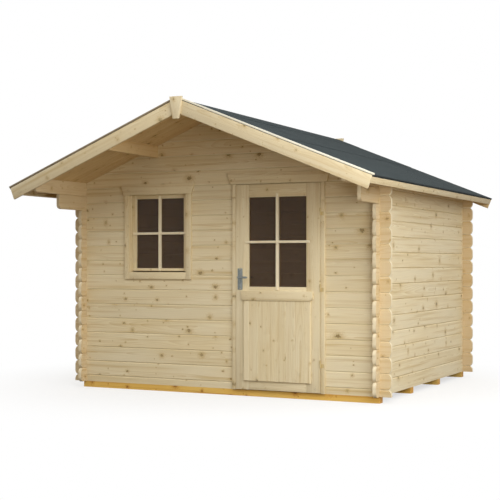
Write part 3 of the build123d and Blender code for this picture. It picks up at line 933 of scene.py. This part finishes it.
def roof_deck(name, node, side):
    """Boards on one slope: side is 1 for the right slope and -1 for the left one."""
    low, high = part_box(node)
    width = (high.y - low.y) / deck_count
    inner, outer = (low.x, high.x) if side > 0 else (high.x, low.x)
    under_z = high.z - deck_t / math.cos(roof_pitch)
    eave = Vector((outer - side * deck_t * math.sin(roof_pitch), 0, low.z))
    length = (eave - Vector((inner, 0, under_z))).length
    start = (inner - side * past_ridge, low.y + deck_gap, under_z)
    end = (inner + side * length, low.y + width - deck_gap, under_z + deck_t)
    board = start_block(name, start, end)
    bevel_edges(lambda middle, run: abs(run.x) > aligned and middle.z < under_z + near, deck_cut)
    turn_to_pitch(side, (inner, low.y, under_z))
    repeat(board, deck_count, (0, width, 0))
    return finish_boards(board, "house", shaded_warm_spruce, node)


for name, node, side in (
    ("left_deck_boards", "left_roof_deck", -1),
    ("right_deck_boards", "right_roof_deck", 1),
):
    deck = roof_deck(name, node, side)
    print(name, "with", deck_count, "boards, top at", round(max(corner[2] for corner in deck.bound_box), 4))

# %% Floor planks
floor_low, floor_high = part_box("floor_boards")
plank_count = 30
plank_gap = 0.0003
plank_cut = 0.002
plank_w = (floor_high.x - floor_low.x) / plank_count
plank = start_block("floor_planks", floor_low, (floor_low.x + plank_w - plank_gap, *floor_high.yz))
bevel_edges(lambda middle, run: abs(run.y) > aligned and middle.z > floor_high.z - near, plank_cut)
clear_selection()
repeat(plank, plank_count, (plank_w, 0, 0))
finish_boards(plank, "house", spruce, "floor_boards")
print("floor planks:", plank_count, "of", round(plank_w * 1000), "mm")

# %% [markdown]
# Roofing felt is a tarred sheet strewn with crushed slate. Close up it is a field of grains in greys and blue
# greens with dark tar between them, and from afar it is an even slate grey. A fine Voronoi gives each grain
# its own tone and a little height, a slow noise gives the cloudy patches where the grains lie thinner, and a
# noise stretched along the roll gives the faint streaks of its making. A band along the edges, measured from
# the outline of the roof, is darkened to nearly black: partly the bare tar of the cut edge, and partly painted
# shade.

# %% Felt material
felt, tree, shader = new_material("slate grained felt")
felt_place = object_place(tree)
grains = voronoi(tree, felt_place, 420)
patches = noise(tree, felt_place, 2.2, 4.0, 0.6)
streaks = noise(tree, stretch(tree, felt_place, (14.0, 0.7, 14.0)), 1.0, 3.0)
felt_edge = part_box("right_roof_felt")[1]
felt_axes = split_up(tree, "XYZ", felt_place)
from_eave = calc(tree, "SUBTRACT", felt_edge.x, calc(tree, "ABSOLUTE", felt_axes[0]))
from_verge = calc(tree, "SUBTRACT", felt_edge.y, calc(tree, "ABSOLUTE", felt_axes[1]))
from_edge = calc(tree, "MINIMUM", from_eave, from_verge)
grain_tone = split_up(tree, "Color", grains["Color"])[0]
felt_colour = mix_colour(tree, grain_tone, tone(35, 44, 47), tone(78, 89, 90))
for share, colour in (
    (step_between(tree, patches, 0.3, 0.75, 0.0, 0.5), tone(48, 58, 61)),
    (step_between(tree, grains["Distance"], 0.35, 0.75, 0.0, 0.55), tone(28, 33, 35)),
    (step_between(tree, streaks, 0.42, 0.75, 0.0, 0.22), tone(36, 43, 46)),
    # Painted shade along the edges, partly the bare tar of the cut edge: a band darkened to nearly black.
    (step_between(tree, from_edge, 0.02, 0.05, 0.6, 0.0), tone(18, 22, 21)),
):
    felt_colour = mix_colour(tree, share, felt_colour, colour)
feed_all(tree, shader, {
    "Base Color": felt_colour,
    "Roughness": scaled(tree, patches, 0.1, 0.88),
    "Normal": relief(tree, calc(tree, "SUBTRACT", 1.0, grains["Distance"]), 0.6, 0.001),
    "Specular IOR Level": 0.15,
})
print("felt ready for the roof")

# %% [markdown]
# Felt comes on rolls one metre wide. It is laid in level strips from the eave upwards, the upper one lapping
# over the lower, and a folded strip caps the ridge. A strip starts as a flat block whose lower end is lifted
# by one thickness, so that it lies on the strip below. The lowest strip is folded down over the fascia: a
# narrow face is cut off under its edge and extruded. Then the strip is cut into stations, turned to the pitch
# and cut upright at the ridge as the deck was. A Displace modifier with a slow cloud texture gives it the
# faint waves of a sheet that was once rolled up.

# %% Felt strips
felt_t = 0.003
sheet_t = 0.0022
roll_w = 1.0
felt_lap = 0.09
felt_past_ridge = 0.02
fold_h = 0.010
strip_rows = 36
strip_columns = 10
wave_h = 0.0016
wave_angle = math.radians(30)
waves = bpy.data.textures.new("felt waves", "CLOUDS")
waves.noise_scale = 0.28


def stations(low, high, parts):
    """The places that divide a length into equal parts."""
    return [low + (high - low) * index / parts for index in range(1, parts)]


def felt_strip(node, side, start, end, lifted, fold):
    """A strip from start to end, counted down the slope from the ridge, its end lifted or folded down."""
    low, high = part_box(node)
    inner = low.x if side > 0 else high.x
    edge_x = inner + side * end
    under_z = high.z - felt_t / math.cos(roof_pitch)
    ends = sorted((inner + side * start, edge_x))
    strip = start_block("felt_strip", (ends[0], low.y, under_z), (ends[1], high.y, under_z + sheet_t))
    pick("FACE", lambda middle, normal: normal.x * side > aligned)
    bpy.ops.transform.translate(value=(0, 0, lifted))
    if fold:
        cut_across(0, edge_x - side * sheet_t)
        pick("FACE", lambda middle, normal: normal.z < -aligned and abs(middle.x - edge_x) < sheet_t)
        extrude(0, 0, -fold)
    cut_across(1, *stations(low.y, high.y, strip_rows))
    cut_across(0, *stations(*ends, strip_columns))
    turn_to_pitch(side, (inner, low.y, under_z))
    apply_modifier(strip, "DISPLACE", texture=waves, texture_coords="LOCAL", direction="Z", strength=wave_h)
    bpy.ops.object.shade_smooth_by_angle(angle=wave_angle)
    return strip


for name, node, side in (
    ("left_felt_strips", "left_roof_felt", -1),
    ("right_felt_strips", "right_roof_felt", 1),
):
    felt_low, felt_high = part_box(node)
    slope_l = (felt_high.x - felt_low.x - felt_t * math.sin(roof_pitch)) / math.cos(roof_pitch)
    strips = [felt_strip(node, side, slope_l - roll_w, slope_l, 0, fold_h)]
    strips.append(felt_strip(node, side, -felt_past_ridge, slope_l - roll_w + felt_lap, sheet_t, 0))
    finish_piece(join_pieces(name, strips), "house", "roof_felt", felt, node)
print("felt strips of", roll_w, "m on both slopes")

# %% Ridge cap
cap_w = 0.24
cap_round = 0.012
cap_z = felt_high.z - felt_t / math.cos(roof_pitch) + 1.4 * sheet_t
ridge_x = felt_low.x
cap = start_block(
    "felt_ridge_cap", (ridge_x - cap_w, felt_low.y, cap_z), (ridge_x + cap_w, felt_high.y, cap_z + sheet_t)
)
cut_across(0, ridge_x)
pick("FACE", lambda middle, normal: abs(normal.x) > aligned)
bpy.ops.transform.translate(value=(0, 0, -cap_w * math.tan(roof_pitch)))
bevel_edges(lambda middle, run: abs(run.y) > aligned and abs(middle.x - ridge_x) < near, cap_round, 3)
clear_selection()
finish_piece(cap, "house", "roof_felt", felt)
print("ridge cap reaches", cap_w, "m down each slope")

# %% [markdown]
# The panes stand before a dark room and look brown. A small share of the surface is not clear but matt, in a
# brown that drifts with a slow noise: painted shade, standing in for the dim room seen through the glass. The
# roughness varies with the same noise, and a slight wave in the glass bends the normal.

# %% Glass material
glass, tree, shader = new_material("glass with painted room shade")
glass_place = object_place(tree)
film = noise(tree, glass_place, 7.0, 4.0, 0.6)
# Painted shade: the matt brown share stands in for the dim room seen through the glass.
feed_all(tree, shader, {
    "Base Color": mix_colour(tree, film, tone(172, 146, 118), tone(148, 124, 98)),
    "Roughness": step_between(tree, film, 0.35, 0.8, 0.01, 0.06),
    "Normal": relief(tree, noise(tree, glass_place, 5.0, 1.0), 0.05, 0.002),
    "Transmission Weight": 0.86,
    "IOR": 1.22,
})
for name in ("door_glass", "window_glass"):
    set_material(nodes[name], glass)
print("glass in the door and the window")

# %% [markdown]
# The handle has a baked blue grey coating. It has a fine orange peel, is rubbed brighter in patches where
# hands touch it, and is satin rather than glossy.

# %% Coated metal material
coating, tree, shader = new_material("blue grey coating")
metal_place = object_place(tree)
rub = noise(tree, metal_place, 60.0, 4.0, 0.6)
rubbed = step_between(tree, rub, 0.35, 0.75)
feed_all(tree, shader, {
    "Base Color": mix_colour(tree, rubbed, tone(116, 124, 125), tone(146, 152, 150)),
    "Roughness": scaled(tree, rub, 0.2, 0.3),
    "Normal": relief(tree, noise(tree, metal_place, 900.0, 2.0), 0.15, 0.0002),
    "Metallic": 0.35,
})
print("coated metal ready for the handle")

# %% [markdown]
# The lever is a cast grip on a round neck. The grip starts as a block along the door: bisects give it
# stations, its free end is scaled down and drawn back towards the leaf, all edges are bevelled, and one level
# of Subdivision Surface makes it smooth. The neck is a cylinder whose end at the plate is extruded and scaled
# into a collar. The inner handle is the same piece mirrored across the leaf, with its normals recalculated.

# %% Lever measures and helpers
lever_low, lever_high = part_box("door_handle_lever")
plates_low, plates_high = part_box("door_handle_plates")
grip_h = 0.018
grip_t = 0.012
grip_parts = 5
grip_round = 0.0032
tip_scale = (1, 0.8, 0.72)
tip_back = 0.006
neck_r = 0.0075
collar_t = 0.004
collar_scale = 1.55
collar_round = 0.0008
plate_ease = 0.0014
round_sides = 24
across_leaf = (math.pi / 2, 0, 0)
spindle = (lever_low + lever_high) / 2
spindle.x = lever_low.x + grip_h / 2


def start_cylinder(name, sides, radius, depth, place, turn=(0, 0, 0)):
    clear_selection()
    bpy.ops.mesh.primitive_cylinder_add(
        vertices=sides, radius=radius, depth=depth, location=place, rotation=turn
    )
    piece = bpy.context.object
    piece.name = name
    bpy.ops.object.transform_apply(location=True, rotation=True, scale=True)
    return piece


def mirrored(piece, name):
    """A copy of a piece on the other face of the leaf."""
    select_only(piece)
    bpy.ops.object.duplicate()
    copy = bpy.context.object
    copy.name = name
    select_whole()
    bpy.ops.transform.resize(value=(1, -1, 1), center_override=spindle)
    bpy.ops.mesh.normals_make_consistent(inside=False)
    clear_selection()
    return copy


print("lever turns about", [round(value, 4) for value in spindle])

# %% Lever grip and neck
def outer_lever():
    grip_end = (lever_high.x, lever_low.y + grip_t, spindle.z + grip_h / 2)
    grip = start_block("grip", (lever_low.x, lever_low.y, spindle.z - grip_h / 2), grip_end)
    cut_across(0, *stations(lever_low.x, lever_high.x, grip_parts))
    pick("FACE", lambda middle, normal: normal.x > aligned)
    bpy.ops.transform.resize(value=tip_scale)
    bpy.ops.transform.translate(value=(0, tip_back, 0))
    select_whole()
    bpy.ops.mesh.bevel(offset=grip_round, segments=1, affect="EDGES")
    clear_selection()
    apply_modifier(grip, "SUBSURF", levels=1, render_levels=1)
    neck_start = lever_low.y + grip_t * 0.6
    neck_l = plates_low.y - neck_start
    neck_middle = (spindle.x, neck_start + neck_l / 2, spindle.z)
    neck = start_cylinder("neck", round_sides, neck_r, neck_l, neck_middle, across_leaf)
    pick("FACE", lambda middle, normal: normal.y > aligned)
    extrude(0, -collar_t, 0)
    bpy.ops.transform.resize(value=(collar_scale, 1, collar_scale))
    extrude(0, collar_t, 0)
    collar_y = plates_low.y - collar_t - near
    bevel_edges(lambda middle, run: middle.y > collar_y and abs(run.y) < 0.1, collar_round, 2)
    clear_selection()
    lever = join_pieces("lever", [grip, neck])
    bpy.ops.object.shade_smooth_by_angle(angle=smooth_angle)
    return lever


near_lever = outer_lever()
print("outer lever:", len(near_lever.data.polygons), "faces")

# %% Lever pair and plates
levers = join_pieces("door_lever_pair", [near_lever, mirrored(near_lever, "far_lever")])
finish_piece(levers, "handle", "grey_metal", coating, "door_handle_lever")
plates = eased_copy("door_handle_plates", plate_ease)
finish_piece(plates, "door", "grey_metal", coating, "door_handle_plates")
print("lever pair:", len(levers.data.polygons), "faces")

# %% [markdown]
# Below each lever a lock cylinder shows in the plate. It is a short cylinder whose face is inset to a rim;
# the inner face is then squeezed to a slit and extruded inwards as the keyway.

# %% Lock cylinders
key_drop = 0.072
key_proud = 0.0025
barrel_r = 0.0085
barrel_l = 0.006
rim_w = 0.0012
rim_sunk = 0.0006
key_inset = 0.0022
slit_share = 0.24
slit_sunk = 0.0018
barrel_middle = (spindle.x, plates_low.y - key_proud + barrel_l / 2, spindle.z - key_drop)
barrel = start_cylinder("barrel", round_sides, barrel_r, barrel_l, barrel_middle, across_leaf)
pick("FACE", lambda middle, normal: normal.y < -aligned)
bpy.ops.mesh.inset(thickness=rim_w)
extrude(0, rim_sunk, 0)
bpy.ops.mesh.inset(thickness=key_inset)
bpy.ops.transform.resize(value=(slit_share, 1, 1))
extrude(0, slit_sunk, 0)
clear_selection()
barrels = join_pieces("door_lock_cylinders", [barrel, mirrored(barrel, "far_barrel")])
finish_piece(barrels, "door", "grey_metal", coating)
print("lock cylinders", key_drop * 1000, "mm below the lever")

# %% [markdown]
# The hinges are plated with zinc in a pale yellow, close to the wood's own tone, so that they hardly show
# from afar. Plating is a thin metal layer with a cloudy sheen: the colour drifts between two yellows and the
# roughness with it.

# %% Zinc plate material
zinc, tree, shader = new_material("yellow zinc plate")
cloud = noise(tree, object_place(tree), 130.0, 4.0, 0.6)
feed_all(tree, shader, {
    "Base Color": mix_colour(tree, cloud, tone(214, 194, 146), tone(188, 164, 112)),
    "Roughness": scaled(tree, cloud, 0.25, 0.35),
    "Metallic": 0.6,
})
for name in ("door_fixed_hinges", "door_moving_hinges"):
    set_material(nodes[name], zinc)
print("zinc on the hinges")

# %% [markdown]
# The boards are held by yellow zinc screws with a star recess. One head is modelled: a twelve sided cylinder
# with a bevelled rim, a face that is inset, every second corner of it drawn in to make the star, and the star
# extruded inwards. Copies are turned to the face that they sit in and sunk until they stand half a millimetre
# proud.

# %% Screw head
screw_sides = 12
screw_r = 0.0042
screw_h = 0.003
screw_proud = 0.0005
screw_ease = 0.0004
star_inset = 0.0016
star_waist = 0.62
star_sunk = 0.0014
screw_middle = (0, 0, screw_proud - screw_h / 2)
screw_head = start_cylinder("screw_head", screw_sides, screw_r, screw_h, screw_middle)
bevel_edges(lambda middle, run: middle.z > 0 and abs(run.z) < 0.1, screw_ease)
pick("FACE", lambda middle, normal: normal.z > aligned)
bpy.ops.mesh.inset(thickness=star_inset)
bpy.ops.mesh.select_mode(type="VERT")
head_mesh = bmesh.from_edit_mesh(screw_head.data)
star = [face for face in head_mesh.faces if face.select][0]
bpy.ops.mesh.select_all(action="DESELECT")
for vertex in list(star.verts)[::2]:
    vertex.select_set(True)
head_mesh.select_flush_mode()
bpy.ops.transform.resize(value=(star_waist, star_waist, 1), center_override=(0, 0, screw_proud))
pick("FACE", lambda middle, normal: normal.z > aligned and middle.xy.length < near)
extrude(0, 0, -star_sunk)
clear_selection()
print("screw head:", len(screw_head.data.polygons), "faces")

# %% Screws in the house and the door
barge_shares = (0.06, 0.46, 0.9)
barge_offset = 0.032
header_inset = 0.07
casing_shares = (0.14, 0.5, 0.88)
drip_inset = 0.05
plate_inset = 0.011


def drive_screws(name, body, places):
    """Copies of the head at places, each with the sign of the Y direction that it faces."""
    copies = []
    for place, faces in places:
        copy = bpy.data.objects.new("screw", screw_head.data.copy())
        scene.collection.objects.link(copy)
        copy.location = place
        copy.rotation_euler = (-faces * math.pi / 2, 0, 0)
        copies.append(copy)
    select_only(*copies)
    bpy.ops.object.transform_apply(location=True, rotation=True, scale=True)
    return finish_piece(join_pieces(name, copies), body, "zinc_metal", zinc)


def level_row(node, inset):
    """Three places along the middle of a level board's front face."""
    low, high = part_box(node)
    middle = (low + high) / 2
    return [((x, low.y, middle.z), -1) for x in (low.x + inset, middle.x, high.x - inset)]


house_places = []
for end, faces in (("front", -1), ("rear", 1)):
    for flank, side in (("left", -1), ("right", 1)):
        low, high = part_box(f"{end}_{flank}_barge_board")
        face_y = low.y if faces < 0 else high.y
        reach = high.x - low.x
        drop = high.z - low.z - reach * math.tan(roof_pitch)
        start_x = low.x if side > 0 else high.x
        for share in barge_shares:
            middle_z = high.z - reach * share * math.tan(roof_pitch) - drop / 2
            for offset in (-barge_offset, barge_offset):
                house_places.append(((start_x + side * reach * share, face_y, middle_z + offset), faces))
house_places += level_row("door_header", header_inset) + level_row("window_header", header_inset)
low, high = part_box("window_casing")
for x in (low.x + upright_w / 2, high.x - upright_w / 2):
    for share in casing_shares:
        house_places.append(((x, low.y, low.z + (high.z - low.z) * share), -1))
drive_screws("house_screws", "house", house_places)
leaf_places = level_row("door_drip_rail", drip_inset)
for z in (plates_low.z + plate_inset, plates_high.z - plate_inset):
    leaf_places.append(((spindle.x, plates_low.y, z), -1))
    leaf_places.append(((spindle.x, plates_high.y, z), 1))
drive_screws("door_screws", "door", leaf_places)
bpy.data.objects.remove(screw_head)
print("screws:", len(house_places), "in the house and", len(leaf_places), "in the door")
